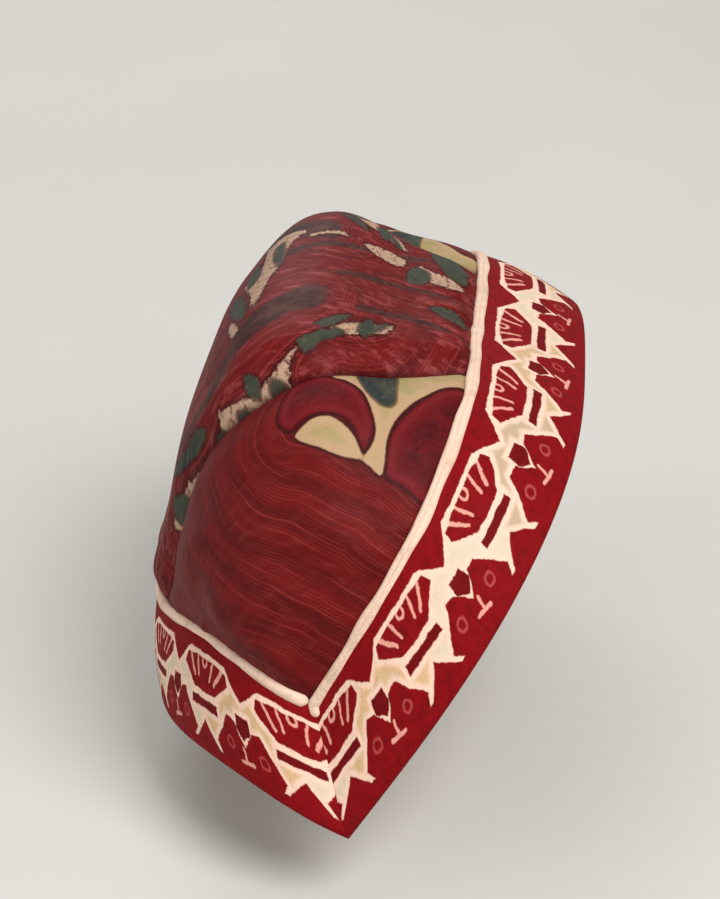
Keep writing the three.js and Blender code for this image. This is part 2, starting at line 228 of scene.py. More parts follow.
def seam_turn(share):
    """Where the gore ends and the right side panel begins."""
    half = GORE_HALF * between("gore", share) / HINGE_HALF
    turn = np.full_like(half, math.pi / 3)
    for _ in range(8):
        turn = np.arccos(half / crown_fullness(share, turn))
    return turn


def cloth_scale(share, turn):
    """Millimetres of cloth for one unit of share and one of turn."""
    reach = crown_reach(share)
    along = np.maximum(reach * crown_sweep(turn) * np.sin(turn), EDGING_WIDTH)
    return along, np.hypot(reach * np.cos(turn), HINGE_HALF * np.sin(turn))


def rising(distance, run):
    """0 at an edge, and 1 a few times the run away from it."""
    return 1 - np.exp(-((distance / run) ** 2))


def fold_height(folds, share, across, along_scale, across_scale):
    height = np.zeros_like(share)
    for start, end, rise, width in folds:
        run_x, run_y = (end[0] - start[0]) * along_scale, (end[1] - start[1]) * across_scale
        x, y = (share - start[0]) * along_scale, (across - start[1]) * across_scale
        along = np.clip((x * run_x + y * run_y) / (run_x**2 + run_y**2), 0, 1)
        distance = np.hypot(x - along * run_x, y - along * run_y)
        lift = rise[0] + (rise[1] - rise[0]) * along
        height += FOLD_CLOTH * lift * np.exp(-((distance / (width * BAND_WIDTH)) ** 2))
    return height


def small_gathers(along, away, pitch, reach):
    """Small gathers that run out from a seam, uneven from one to the next."""
    phase = 2 * math.pi * along / pitch
    waves = np.sin(phase) + 0.6 * np.sin(0.61 * phase + 1.3) + 0.4 * np.sin(1.73 * phase + 0.4)
    return waves * np.exp(-away / reach)


def crown_height(share, turn, on_gore):
    """How far the cloth stands out from the smooth surface."""
    seam = seam_turn(share)
    along_scale, turn_scale = cloth_scale(share, turn)
    side = np.minimum(turn, math.pi - turn)
    seam_away = np.abs(side - seam) * turn_scale
    end_away = np.minimum(share, 1 - share) * along_scale
    middle = math.pi / 2
    if on_gore:
        across, across_scale = (turn - middle) / (middle - seam), turn_scale * (middle - seam)
        folds, puff, run, gather = GORE_FOLDS, GORE_PUFF, GORE_RUN, GORE_GATHER
    else:
        across, across_scale = side / seam, turn_scale * seam
        folds, puff, run, gather = PANEL_FOLDS, PANEL_PUFF, PANEL_RUN, PANEL_GATHER
    edge = rising(end_away, run) * rising(seam_away, run)
    sink = SEAM_SINK * (1 - rising(seam_away, run)) * rising(end_away, run)
    soft = rising(seam_away, EDGING_WIDTH) * rising(end_away, EDGING_WIDTH)
    height = puff * edge - sink
    height += fold_height(folds, share, across, along_scale, across_scale) * soft
    height += gather * soft * small_gathers(turn * turn_scale, end_away, **BAND_GATHERS)
    height += SIDE_SHARE * gather * soft * small_gathers(share * along_scale, seam_away, **SIDE_GATHERS)
    tuck = np.exp(-((seam_away / TUCK_RUN) ** 2)) + np.exp(-((end_away / TUCK_RUN) ** 2))
    return height - SEAM_TUCK * np.minimum(tuck, 1)


def normals_of(surface, u, v, step=1e-3):
    """Unit normals of a surface function, along its u across its v."""
    along_u = surface(u + step, v) - surface(u - step, v)
    along_v = surface(u, v + step) - surface(u, v - step)
    normal = np.cross(along_u, along_v)
    return normal / np.linalg.norm(normal, axis=-1, keepdims=True)


def crown_surface(share, turn, on_gore):
    normal = normals_of(lambda t, s: crown_point(s, t), turn, share)
    return crown_point(share, turn) + normal * crown_height(share, turn, on_gore)[..., None]


def grid_normals(points):
    """Unit normals of a grid of points."""
    along_u = np.gradient(points, axis=0)
    along_v = np.gradient(points, axis=1)
    normal = np.cross(along_u, along_v)
    return normal / np.maximum(np.linalg.norm(normal, axis=-1, keepdims=True), 1e-9)


def run_lengths(points, axis):
    """The length run so far along one axis of a grid of points."""
    steps = np.linalg.norm(np.diff(points, axis=axis), axis=-1)
    runs = np.cumsum(steps, axis=axis)
    first = np.zeros_like(np.take(runs, [0], axis=axis))
    return np.concatenate([first, runs], axis=axis)


def edge_distances(points):
    """How far each point of a grid lies from the nearer end of its rows, along each axis."""
    nearer = []
    for axis in (0, 1):
        runs = run_lengths(points, axis)
        nearer.append(np.minimum(runs, np.take(runs, [-1], axis=axis) - runs))
    return nearer


def places(count, length, edge):
    """Places from 0 to 1, with a few more inside the rounded edge at each end."""
    near = edge / length * np.array([0.0, 0.08, 0.3, 0.65])
    inner = np.linspace(edge / length, 1 - edge / length, count)
    return np.concatenate([near, inner, 1 - near[::-1]])


def new_grid(name, across, along):
    """A grid with this many points each way, in edit mode and selected."""
    bpy.ops.object.select_all(action="DESELECT")
    bpy.ops.mesh.primitive_grid_add(x_subdivisions=across - 1, y_subdivisions=along - 1, size=1)
    piece = bpy.context.object
    piece.name = piece.data.name = name
    bpy.ops.object.mode_set(mode="EDIT")
    bpy.ops.mesh.select_all(action="SELECT")
    return piece


def in_grid_order(layers):
    """Layers of vectors in the order of a grid's points, which runs first along its x."""
    return np.ascontiguousarray(layers.transpose(0, 2, 1, 3), dtype=np.float32).ravel()


def shape_grid(piece, layers, marks):
    """Move a grid's points to their places, give them their named vectors, and close the seams."""
    bpy.ops.object.mode_set(mode="OBJECT")
    piece.data.vertices.foreach_set("co", in_grid_order(layers * MM))
    for mark, values in marks.items():
        layer = piece.data.attributes.new(mark, "FLOAT_VECTOR", "POINT")
        layer.data.foreach_set("vector", in_grid_order(values))
    bpy.ops.object.mode_set(mode="EDIT")
    bpy.ops.mesh.select_all(action="SELECT")
    bpy.ops.mesh.remove_doubles(threshold=1e-6)


def smooth_shading():
    bpy.ops.object.mode_set(mode="OBJECT")
    bpy.ops.object.shade_smooth()


def cloth_piece(name, points, thickness, marks, end_round=None):
    """A closed sheet of cloth about a grid of points, with rounded edges.

    marks holds the named vectors of each point, on the outer side and on the inner one.
    end_round is how far from its two ends the cloth rounds off, where that isn't half its thickness.
    """
    normal = grid_normals(points)
    outwards = np.sign(np.sum(normal * (points - INSIDE)))
    half = thickness / 2
    ends, sides = edge_distances(points)
    from_edge = np.clip(np.minimum(ends / (end_round or half), sides / half), 0, 1)
    swell = (half * outwards * np.sqrt(1 - (1 - from_edge) ** 2))[..., None]
    piece = new_grid(name, *points.shape[:2])
    bpy.ops.mesh.duplicate()
    bpy.ops.mesh.flip_normals()
    if outwards < 0:
        bpy.ops.mesh.select_all(action="SELECT")
        bpy.ops.mesh.flip_normals()
    shape_grid(piece, np.stack([points + normal * swell, points - normal * swell]), marks)
    smooth_shading()
    return piece


def vectors(x, y, z):
    """One vector for each point."""
    return np.stack([x, y, np.broadcast_to(z, x.shape)], axis=-1)


def two_sides(x, y, z_outer=0.0, z_inner=0.0):
    """A named vector for the outer side of the cloth and for its inner side."""
    return np.stack([vectors(x, y, z_outer), vectors(x, y, z_inner)])


# The figures printed on the crown, as outlines of (share in hundredths, turn in degrees).
# The turns run up from the right ear, and the side panels hold those below the gore's seam.
FAR_OUTSIDE = -60.0  # the distance, in mm, beyond which a figure doesn't count
PANEL_HALF_MOON = (
    (28.5, 46), (27.5, 47), (25, 48.5), (22.5, 49), (20.5, 48.5), (18.5, 47.5), (17.5, 46.5),
    (16.5, 44.5), (21, 43.5), (24.5, 44), (27, 44.8),
)
PANEL_CRESCENT = (
    (22, 57.5), (20, 57.5), (18, 56.5), (16.8, 55.3), (15.5, 53), (14.3, 50.5), (14.2, 48.3),
    (15, 46.3), (16, 44.5), (14, 44), (11.5, 43.3), (11.5, 46), (11.8, 48.5), (11.4, 51),
    (10.3, 53.7), (8.5, 56.5), (6.5, 59), (4, 62), (1.5, 63.5), (-1, 65), (0, 68), (7, 68),
    (12, 66), (19, 61),
)
PANEL_PETAL = (
    (29, 56), (24, 57.5), (20, 57), (17.5, 55.5), (15.5, 52.5), (14.5, 50), (15, 47.5), (16, 45),
    (17, 46), (18.5, 48.5), (20.5, 49.5), (22.5, 49.5), (25, 49), (27.5, 48), (29.5, 47),
    (31.5, 50),
)
PANEL_CORNER = (
    (0, 63.5), (4.5, 61), (7.5, 57), (10, 53), (11.3, 50), (11.5, 46.5), (10.5, 43.3), (7, 42.5),
    (-2, 40.5), (-2, 50), (-2, 60),
)
PANEL_FIGURES = {
    "cream": (PANEL_HALF_MOON, PANEL_CRESCENT),
    "leaf": (((17.5, 61), (12, 65), (11.5, 58.5), (11.5, 55.5), (13, 54.5), (15.3, 55.2), (17, 57)),),
    "petal": (PANEL_PETAL, PANEL_CORNER),
    "stem": (),
}
PANEL_CORE = (
    (-2, 40), (4, 41), (11, 43.2), (20, 43.3), (28, 45), (30, 47.5), (29, 51), (26, 54.5), (24, 58),
)
GORE_STRIP = (
    (13.5, 74), (18, 71), (22, 67.5), (24, 65), (26, 63.3), (28.5, 61.3), (30.5, 60.2),
    (32.5, 59.5), (35, 59.3), (37, 60), (40, 61), (42.5, 62.5), (45, 61.5), (50.5, 63.5),
    (54.5, 65.5), (62.5, 69), (74, 72), (74, 68), (59, 62), (51.5, 59), (43, 56), (41.5, 55.5),
    (39.5, 55.5), (37.5, 54.5), (36, 54.5), (34.5, 54.5), (32, 55), (30.5, 55.5), (29.5, 57),
    (28.5, 59.3), (27, 61), (25, 62.4), (22.5, 64.4), (20, 65.5), (16.5, 68), (14, 71),
)
GORE_STEM = (
    (23.5, 77), (24, 79), (26, 79.3), (27.7, 77.8), (29.5, 76.3), (32, 75.3), (34, 74.2), (36, 73),
    (38.5, 71), (41, 69.5), (44, 69), (50, 71), (58, 75), (58, 73.5), (50, 68.5), (44, 65.5),
    (39.5, 65.7), (37.5, 66.8), (34, 67.5), (31.5, 68), (29, 69), (28, 70.3), (25.5, 70.7),
    (24, 73),
)
STRIP_LEAVES = (
    ((30.3, 58), (31, 56), (32.7, 54.8), (33.3, 57), (32.2, 59)),
    ((36, 57), (37.5, 55.7), (39.8, 56), (41, 57), (41, 59), (39, 59.3)),
    ((27, 62.8), (25, 64), (22, 66), (21, 65.6), (22.5, 63.6), (24, 62.6), (26, 60.8)),
    ((18, 72), (17, 72), (16.8, 69), (18.3, 66.3), (19.2, 68)),
    ((47, 64), (51, 65), (55.5, 67.5), (61, 71), (62.5, 74), (55, 69.7), (49, 66.5)),
    ((64, 68), (66, 71), (70, 72), (73, 70), (69, 67.5)),
    ((24.6, 66.4), (22.4, 69.4), (20.2, 71.6), (21.2, 68.6), (23.4, 65.6)),
    ((43, 57.6), (45.6, 58.8), (47.4, 62.2), (44.6, 61)),
    ((33.6, 59.8), (35.4, 58.4), (36.6, 60.2), (34.8, 61.6)),
    ((14.2, 73.6), (15.8, 70.2), (17.2, 68.6), (15.8, 72.4)),
)
BACK_CREAM = (
    (27.5, 105), (29, 100), (29.3, 92), (30.5, 87), (31.5, 81), (32.5, 77.5), (33.5, 78.5),
    (34.3, 86), (37, 95.5), (34.5, 95.5), (33, 97), (34, 105.5), (32.5, 106.5), (30.5, 106.5),
)


def mirrored(outline):
    """The same outline on the left half of the gore."""
    return tuple((share, 180 - turn) for share, turn in outline)


GORE_FIGURES = {
    "cream": (
        GORE_STRIP,
        mirrored(GORE_STRIP),
        BACK_CREAM,
        ((38.5, 84.5), (36.5, 80), (35.2, 75.5), (36, 73.5), (37.2, 74.5), (38.3, 79)),
        ((20.5, 103), (16, 104), (13, 102.5), (13.5, 99.5), (16.5, 99), (19.5, 100.5)),
        ((11, 102.5), (8, 101), (4, 99.5), (3, 95.5), (7, 95), (9.5, 97)),
        ((27.5, 102.5), (26, 104), (24, 105), (22.5, 104.5), (22.5, 103), (24.5, 103), (26.5, 101.3)),
        ((62, 92), (68, 84), (78, 80), (76, 86), (71, 90), (67, 96)),
    ),
    "leaf": (
        *STRIP_LEAVES,
        *(mirrored(leaf) for leaf in STRIP_LEAVES),
        ((34.5, 101), (32.8, 92.5), (33.5, 90.5), (35, 91), (36, 98.5)),
        ((39, 95.5), (36, 90), (34.3, 81), (34.8, 77), (37.5, 83.5), (39.5, 91.5)),
        ((31.5, 101), (30.5, 102.5), (29.7, 95.5), (30, 90.5), (31, 95)),
        ((9, 115.5), (6.5, 111.5), (3.5, 106), (3, 100), (5.5, 100), (8, 104.5), (9.5, 110)),
        ((12.5, 98), (11.5, 101), (9, 100), (9, 95.5), (12, 94)),
        ((8, 85), (6, 86.5), (3, 85.5), (2.5, 81), (5.5, 81.5)),
        ((70, 86), (66, 84), (66, 80), (70, 79), (73, 81)),
    ),
    "stem": (
        GORE_STEM,
        mirrored(GORE_STEM),
        ((31, 91), (27, 96), (19, 99.6), (10, 104), (10, 106), (19, 102), (27, 98.4), (32, 93)),
        ((22, 86), (14, 90), (6, 91), (6, 92.4), (14, 92), (22, 88)),
        ((19, 74), (12, 77), (5, 76.4), (5, 78), (12, 79), (19, 76)),
    ),
    "petal": (
        ((39, 82.5), (37.5, 75), (40, 72), (42.5, 71.5), (44.5, 73.5), (43, 82.5)),
        ((60, 97), (66, 100), (76, 99), (82, 92), (76, 91), (68, 97)),
    ),
}


def smooth_outline(corners, closed=True, steps=7):
    """A smooth line through the corners of a figure, as shares and turns in radians."""
    corners = np.array(corners, dtype=float) * np.array([0.01, math.pi / 180])
    if closed:
        ends = corners[-1:], corners[:2]
    else:
        ends = 2 * corners[:1] - corners[1:2], 2 * corners[-1:] - corners[-2:-1]
    padded = np.concatenate([ends[0], corners, ends[1]])
    line = []
    for a, b, c, d in zip(padded, padded[1:], padded[2:], padded[3:]):
        for t in np.arange(steps) / steps:
            bend = 2 * a - 5 * b + 4 * c - d + t * (3 * (b - c) + d - a)
            line.append(b + 0.5 * t * (c - a + t * bend))
    return np.array(line)


def distance_to_line(places_3d, line, closed=True):
    """How far each place on the crown lies from a line on it, in millimetres of cloth."""
    on_crown = crown_point(line[:, 0], line[:, 1])
    ends = np.roll(on_crown, -1, axis=0) if closed else on_crown[1:]
    starts = on_crown if closed else on_crown[:-1]
    nearest = np.full(places_3d.shape[:-1], np.inf)
    for start, end in zip(starts, ends):
        run = end - start
        along = np.clip(((places_3d - start) @ run) / max(run @ run, 1e-9), 0, 1)
        away = places_3d - start - along[..., None] * run
        nearest = np.minimum(nearest, np.einsum("...i,...i", away, away))
    return np.sqrt(nearest)


def inside_line(share, turn, line):
    """Whether each place lies inside a closed line of shares and turns."""
    inside = np.zeros(share.shape, dtype=bool)
    for (s0, t0), (s1, t1) in zip(line, np.roll(line, -1, axis=0)):
        if t0 == t1:
            continue
        crosses = (t0 > turn) != (t1 > turn)
        inside ^= crosses & (share < s0 + (s1 - s0) * (turn - t0) / (t1 - t0))
    return inside


def figure_distance(share, turn, outlines):
    """Millimetres into the nearest of these figures, and below 0 outside all of them."""
    places_3d = crown_point(share, turn)
    deepest = np.full(share.shape, FAR_OUTSIDE)
    for outline in outlines:
        line = smooth_outline(outline)
        distance = distance_to_line(places_3d, line)
        deepest = np.maximum(deepest, np.where(inside_line(share, turn, line), distance, -distance))
    return deepest


def crown_marks(points, share, turn, figures, flow):
    """Cloth coordinates and the printed figures' distances, for a crown piece."""
    along, across = cloth_scale(share, turn)
    edge = np.minimum(*edge_distances(points))
    depth = {kind: figure_distance(share, turn, outlines) for kind, outlines in figures.items()}
    return {
        "cloth": two_sides(share * along, turn * across, z_inner=1.0),
        # The distance from the piece's edges, which the chintz uses for painted shade along its seams
        "edge": two_sides(edge, edge),
        "figures": two_sides(depth["cream"], depth["leaf"], depth["stem"], depth["stem"]),
        "ground": two_sides(flow, depth["petal"]),
    }


def panel_flow(share, turn):
    """The distance from the line that a side panel's fine lines run round."""
    core = smooth_outline(PANEL_CORE, closed=False)
    return distance_to_line(crown_point(share, turn), core, closed=False)


def gore_flow(share, turn):
    """The gore's fine lines run round its stems and its pale strips."""
    lines = (GORE_STRIP, GORE_STEM, mirrored(GORE_STRIP), mirrored(GORE_STEM))
    return np.maximum(-figure_distance(share, turn, lines), 0)


def side_panel(name, left):
    """One rounded side of the crown, from its tip over the ear up to the gore's seam."""
    grid = [places(count, run, CROWN_ROUND) for count, run in PANEL_GRID]
    u, share = np.meshgrid(*grid, indexing="ij")
    seam = seam_turn(share)
    across = cloth_scale(share, seam)[1]
    turn = TIP_TURN + (seam - SEAM_HALF / across - TIP_TURN) * u
    points = crown_surface(share, turn, on_gore=False)
    if left:
        points = points * np.array([1, -1, 1])
    marks = crown_marks(points, share, turn, PANEL_FIGURES, panel_flow(share, turn))
    return cloth_piece(name, points, CROWN_CLOTH, marks)


def crown_gore(name):
    """The gathered centre strip, from one side seam to the other."""
    grid = [places(count, run, CROWN_ROUND) for count, run in GORE_GRID]
    u, share = np.meshgrid(*grid, indexing="ij")
    seam = seam_turn(share)
    first = seam + SEAM_HALF / cloth_scale(share, seam)[1]
    turn = first + (math.pi - 2 * first) * u
    points = crown_surface(share, turn, on_gore=True)
    marks = crown_marks(points, share, turn, GORE_FIGURES, gore_flow(share, turn))
    return cloth_piece(name, points, CROWN_CLOTH, marks)


def band_point(rim, share, turn, v):
    start, end = rim(turn), crown_point(share, turn)
    return start + (end - start) * v[..., None]


def near_mitre(turn):
    return np.exp(-((np.minimum(turn, math.pi - turn) / MITRE_RUN) ** 2))


def mitre_normal(turn, v):
    """The normal over each ear that both bands share."""
    near = np.where(turn < math.pi / 2, MITRE_NEAR, math.pi - MITRE_NEAR)
    front = normals_of(lambda t, w: band_point(front_rim, 0.0, t, w), near, v)
    nape = normals_of(lambda t, w: band_point(nape_rim, 1.0, t, w), near, v)
    shared = front - nape
    return shared / np.linalg.norm(shared, axis=-1, keepdims=True)


def repeats_along(run, palmettes):
    """The count of repeats at a run along a band, whole at the middle of each palmette."""
    count = len(palmettes) - 1
    knots = (0,) + palmettes
    steps = (-palmettes[0] / REPEAT,) + tuple(range(count + 1))
    half = run[-1] / 2
    from_end = np.interp(np.minimum(run, run[-1] - run) * palmettes[-1] / half, knots, steps)
    return np.where(run < half, from_end, 2 * count - from_end)


def band(name, rim, share, palmettes):
    """A printed band from ear to ear, from its folded rim to the crown's seam."""
    length = 2 * palmettes[-1]
    along = places(int(length / BAND_STEP), length, MITRE_ROUND)
    u, v = np.meshgrid(along, places(BAND_ROWS, BAND_WIDTH, BAND_CLOTH / 2), indexing="ij")
    first = MITRE_HALF / (FRONT_REACH if share == 0 else NAPE_REACH)
    turn = first + (math.pi - 2 * first) * u
    normal = normals_of(lambda t, w: band_point(rim, share, t, w), turn, v)
    normal = normal if share == 0 else -normal
    blend = near_mitre(turn)[..., None]
    normal = normal * (1 - blend) + mitre_normal(turn, v) * blend
    normal /= np.linalg.norm(normal, axis=-1, keepdims=True)
    bow = BAND_BOW * np.sin(math.pi * v) * (1 - near_mitre(turn))
    points = band_point(rim, share, turn, v) + normal * bow[..., None]
    run = run_lengths(points[:, points.shape[1] // 2], 0)
    repeats = np.broadcast_to(repeats_along(run, palmettes)[:, None], u.shape)
    run = np.broadcast_to(run[:, None], u.shape)
    width = BAND_WIDTH * v
    cloth = np.stack([vectors(repeats, width, 0.0), vectors(repeats, -width, 1.0)])
    marks = {"cloth": cloth, "run": two_sides(run, width)}
    return cloth_piece(name, points, BAND_CLOTH, marks, end_round=MITRE_ROUND)


def with_tails(centre, outwards):
    """The front edging's middle line, carried on down the mitre at both ears."""
    for end, ear in ((0, 0.0), (-1, math.pi)):
        down = (front_rim(np.array([ear])) - crown_point(np.array([0.0]), np.array([ear])))[0]
        down /= np.linalg.norm(down)
        tail = centre[end] + down * np.linspace(EDGING_TAIL, 0.3, TAIL_STEPS)[:, None]
        side = np.repeat(outwards[end][None], TAIL_STEPS, axis=0)
        if end == 0:
            centre, outwards = np.concatenate([tail, centre]), np.concatenate([side, outwards])
        else:
            centre, outwards = np.concatenate([centre, tail[::-1]]), np.concatenate([outwards, side])
    return centre, outwards


def unit(vectors_3d):
    return vectors_3d / np.linalg.norm(vectors_3d, axis=1, keepdims=True)


def edging(name, share, short, tail):
    """The round edging in a seam, a little uneven along its length."""
    turn = np.linspace(short, math.pi - short, EDGING_STEPS)
    near = np.clip(turn, MITRE_NEAR, math.pi - MITRE_NEAR)
    outwards = normals_of(lambda t, s: crown_point(s, t), near, np.full_like(near, share))
    centre = crown_point(np.full_like(turn, share), turn) + outwards * EDGING_LIFT
    if tail:
        centre, outwards = with_tails(centre, outwards)
    ahead = unit(np.gradient(centre, axis=0))
    aside = unit(np.cross(ahead, outwards))
    out = np.cross(aside, ahead)
    run = run_lengths(centre, 0)
    uneven = 1 + 0.06 * np.sin(run / 2.9) + 0.05 * np.sin(run / 1.7 + 1) + 0.04 * np.sin(run / 7.3)
    drift = 0.12 * np.sin(run / 5.3) + 0.08 * np.sin(run / 2.3 + 2)
    ends = np.sqrt(np.clip(np.minimum(run, run[-1] - run) / (EDGING_WIDTH / 2), 0, 1))
    wide = (EDGING_SHOWN / 2 * uneven * ends)[:, None]
    angle = np.linspace(0, 2 * math.pi, EDGING_SIDES + 1)
    sideways = drift[:, None] + wide * np.sin(angle)
    upwards = EDGING_FLAT * wide * np.cos(angle)
    points = centre[:, None] + aside[:, None] * sideways[..., None] + out[:, None] * upwards[..., None]
    # The last row of points round the edging joins the first, so it gets the same angle
    run, angle = np.broadcast_arrays(run[:, None], angle % (2 * math.pi))
    piece = new_grid(name, *points.shape[:2])
    shape_grid(piece, points[None], {"cloth": vectors(run, angle, 0.0)[None]})
    bpy.ops.mesh.normals_make_consistent(inside=False)
    smooth_shading()
    return piece


def linear(level):
    level /= 255
    return level / 12.92 if level <= 0.04045 else ((level + 0.055) / 1.055) ** 2.4


def srgb(red, green, blue):
    """A colour given in the usual 0 to 255 scale, as the shader takes it."""
    return linear(red), linear(green), linear(blue), 1.0


LAYER_APART = 9.0  # how far apart in the noise the two sides of a cloth lie
CLOTH_SHINE = 0.1


class Wire:
    """One value in a material's nodes. Python's operators on it add Math nodes."""

    def __init__(self, finish, socket):
        self.finish = finish
        self.socket = socket

    def math(self, operation, *values):
        sockets = dict(enumerate((self, *values)))
        return self.finish.node("ShaderNodeMath", {"operation": operation}, sockets)

    def __add__(self, other):
        return self.math("ADD", other)

    __radd__ = __add__

    def __mul__(self, other):
        return self.math("MULTIPLY", other)

    __rmul__ = __mul__

    def __sub__(self, other):
        return self.math("SUBTRACT", other)

    def __rsub__(self, other):
        return self.finish.node("ShaderNodeMath", {"operation": "SUBTRACT"}, {0: other, 1: self})

    def __truediv__(self, other):
        return self.math("DIVIDE", other)

    def __abs__(self):
        return self.math("ABSOLUTE")

    def __and__(self, other):
        """The smaller of the two: inside either, for distances that are below 0 inside."""
        return self.math("MINIMUM", other)

    def __or__(self, other):
        """The larger of the two."""
        return self.math("MAXIMUM", other)

    def scaled(self, factor, plus):
        return self.math("MULTIPLY_ADD", factor, plus)

    def fraction(self):
        return self.math("FRACT")

    def step(self, low, high):
        """0 at low and 1 at high, with a smooth way between."""
        sockets = {"Value": self, "From Min": low, "From Max": high}
        return self.finish.node("ShaderNodeMapRange", {"interpolation_type": "SMOOTHSTEP"}, sockets)


class Finish:
    """A material, as it is being made."""

    def __init__(self, name):
        self.material = bpy.data.materials.new(name)
        self.material.use_nodes = True
        self.tree = self.material.node_tree
        self.surface = self.tree.nodes["Principled BSDF"]

    def node(self, kind, settings=None, sockets=None, output=0):
        """A node of this kind: its settings first, then the values or wires of its sockets."""
        made = self.tree.nodes.new(kind)
        for name, value in (settings or {}).items():
            setattr(made, name, value)
        for place, value in (sockets or {}).items():
            self.join(made.inputs[place], value)
        return Wire(self, made.outputs[output])

    def join(self, socket, value):
        if isinstance(value, Wire):
            self.tree.links.new(value.socket, socket)
        else:
            socket.default_value = value

    def attribute(self, name):
        """The three numbers that a piece's points hold under this name."""
        vector = self.node("ShaderNodeAttribute", {"attribute_name": name}, output="Vector")
        return [self.node("ShaderNodeSeparateXYZ", {}, {0: vector}, output=k) for k in range(3)]

    def vector(self, x, y, z):
        return self.node("ShaderNodeCombineXYZ", {}, {0: x, 1: y, 2: z})

    def noise(self, place, scale, detail=2.0, rough=0.5, output=0):
        """A soft random value about 0.5, or at output 1 a colour of three of them."""
        sockets = {"Vector": place, "Scale": scale, "Detail": detail, "Roughness": rough}
        return self.node("ShaderNodeTexNoise", {}, sockets, output)

    def mix(self, first, second, factor):
        """A colour between two others."""
        sockets = {0: factor, 6: first, 7: second}
        return self.node("ShaderNodeMix", {"data_type": "RGBA"}, sockets, output=2)

    def bump(self, height):
        """The surface's normal, from a height in millimetres."""
        return self.node("ShaderNodeBump", {}, {"Height": height, "Distance": MM})

    def set(self, **sockets):
        for name, value in sockets.items():
            self.join(self.surface.inputs[name.replace("_", " ").title()], value)


def weave(finish, x, y, pitch):
    """The height of a plain weave, from 0 to 1: each thread goes over and under its neighbours."""
    turns = math.pi / pitch
    over = (x * turns).math("SINE") * (y * turns).math("SINE")
    return abs(over)


# The colours of the border's print, and of the reverse of every cloth
INK = srgb(124, 2, 9)
# Dark ink of the print, also used for painted shade between the threads
INK_DARK_AND_SHADE = srgb(84, 3, 7)
INK_WORN = srgb(142, 24, 26)
RING_PINK = srgb(186, 84, 80)
MARK_PINK = srgb(222, 156, 138)
PRINT_CREAM = srgb(230, 194, 172)
PATCH_WHITE = srgb(208, 190, 164)
PATCH_YELLOW = srgb(204, 168, 124)
PATCH_GREY = srgb(176, 156, 132)
REVERSE = srgb(206, 186, 158)


def beyond(x, y, start, end):
    """How far a place lies to the right of the line from start to end."""
    run_x, run_y = end[0] - start[0], end[1] - start[1]
    length = math.hypot(run_x, run_y)
    right_x, right_y = run_y / length, -run_x / length
    return x.scaled(right_x, y.scaled(right_y, -right_x * start[0] - right_y * start[1]))


def flank(x, y, corners):
    """A figure's distance, below 0 inside, from corners that run with the figure on their left."""
    distance = None
    for start, end in zip(corners, corners[1:]):
        side = beyond(x, y, start, end)
        distance = side if distance is None else distance | side
    return distance


def stroke(x, y, start, end, half_width):
    """The distance of a straight stroke with round ends."""
    run_x, run_y = end[0] - start[0], end[1] - start[1]
    square = run_x**2 + run_y**2
    before = -(start[0] * run_x + start[1] * run_y) / square
    along = x.scaled(run_x / square, y.scaled(run_y / square, before))
    along = (along | 0.0) & 1.0
    away_x = x - along.scaled(run_x, start[0])
    away_y = y - along.scaled(run_y, start[1])
    return (away_x * away_x + away_y * away_y).math("SQRT") - half_width


def ring(x, y, centre, radius, half_width):
    """The distance of a round line."""
    away_x, away_y = x - centre[0], y - centre[1]
    return abs((away_x * away_x + away_y * away_y).math("SQRT") - radius) - half_width


# The border's figures in mm, from a palmette's middle and from the rim: corners, strokes with
# their half widths, and rings with their radius and half width. The fork stands between two
# palmettes, and its first numbers are from the middle between them.
PALMETTE = ((0, 11.7), (4.4, 11.9), (9.5, 15.4), (8.8, 17.2), (4, 17.8), (0, 17.8))
PALMETTE_TOP = 17.9
SLITS = (((7.3, 17.6), (4.3, 13.9), 0.34), ((3.5, 18.0), (2.4, 14.2), 0.3))
CUP = ((0, 17.3), 1.0, 0.26)
BAR = {"half_length": 5.2, "middle": 9.8, "half_width": 0.85}
SEAM_STRIP = 18.6
TRIANGLE = ((HALF_REPEAT, 20.4), (7.6, 18.9), (HALF_REPEAT, 14.4))
PENTAGON = ((HALF_REPEAT, 12.1), (11.9, 12.1), (11.5, 9.8), (HALF_REPEAT, 8.0))
FIELD = ((HALF_REPEAT, 7.0), (11.0, 10.5), (8.8, 10.8), (4.0, 4.7), (5.7, 2.4))
FIELD_POINT = ((4.5, 2.8), (0, 7.0))
RIM_STRIP = 2.9
EYE = ((8.9, 6.3), 1.0, 0.22)
FORK = (((-1.4, 4.4), (1.8, 3.9), 0.34), ((0.2, 4.2), (0.9, 6.6), 0.3))


def band_figures(side, y, slant):
    """The distances to the darkest figures, to all of them, to the eyes and to the other small marks.

    side is the distance from a palmette's middle, y from the rim, and slant from the middle
    between two palmettes.
    """
    palmette = flank(side, y, PALMETTE)
    bar = (side - BAR["half_length"]) | (abs(y - BAR["middle"]) - BAR["half_width"])
    dark = bar & flank(side, y, PENTAGON)
    field = flank(side, y, FIELD) & beyond(side, y, *FIELD_POINT) & (y - RIM_STRIP)
    ink = dark & (SEAM_STRIP - y) & flank(side, y, TRIANGLE) & palmette & field
    slits = stroke(side, y, *SLITS[0]) & stroke(side, y, *SLITS[1])
    slits = slits & (ring(side, y, *CUP) | (y - PALMETTE_TOP))
    fork = stroke(slant, y, *FORK[0]) & stroke(slant, y, *FORK[1])
    return dark, ink, ring(side, y, *EYE), slits & fork


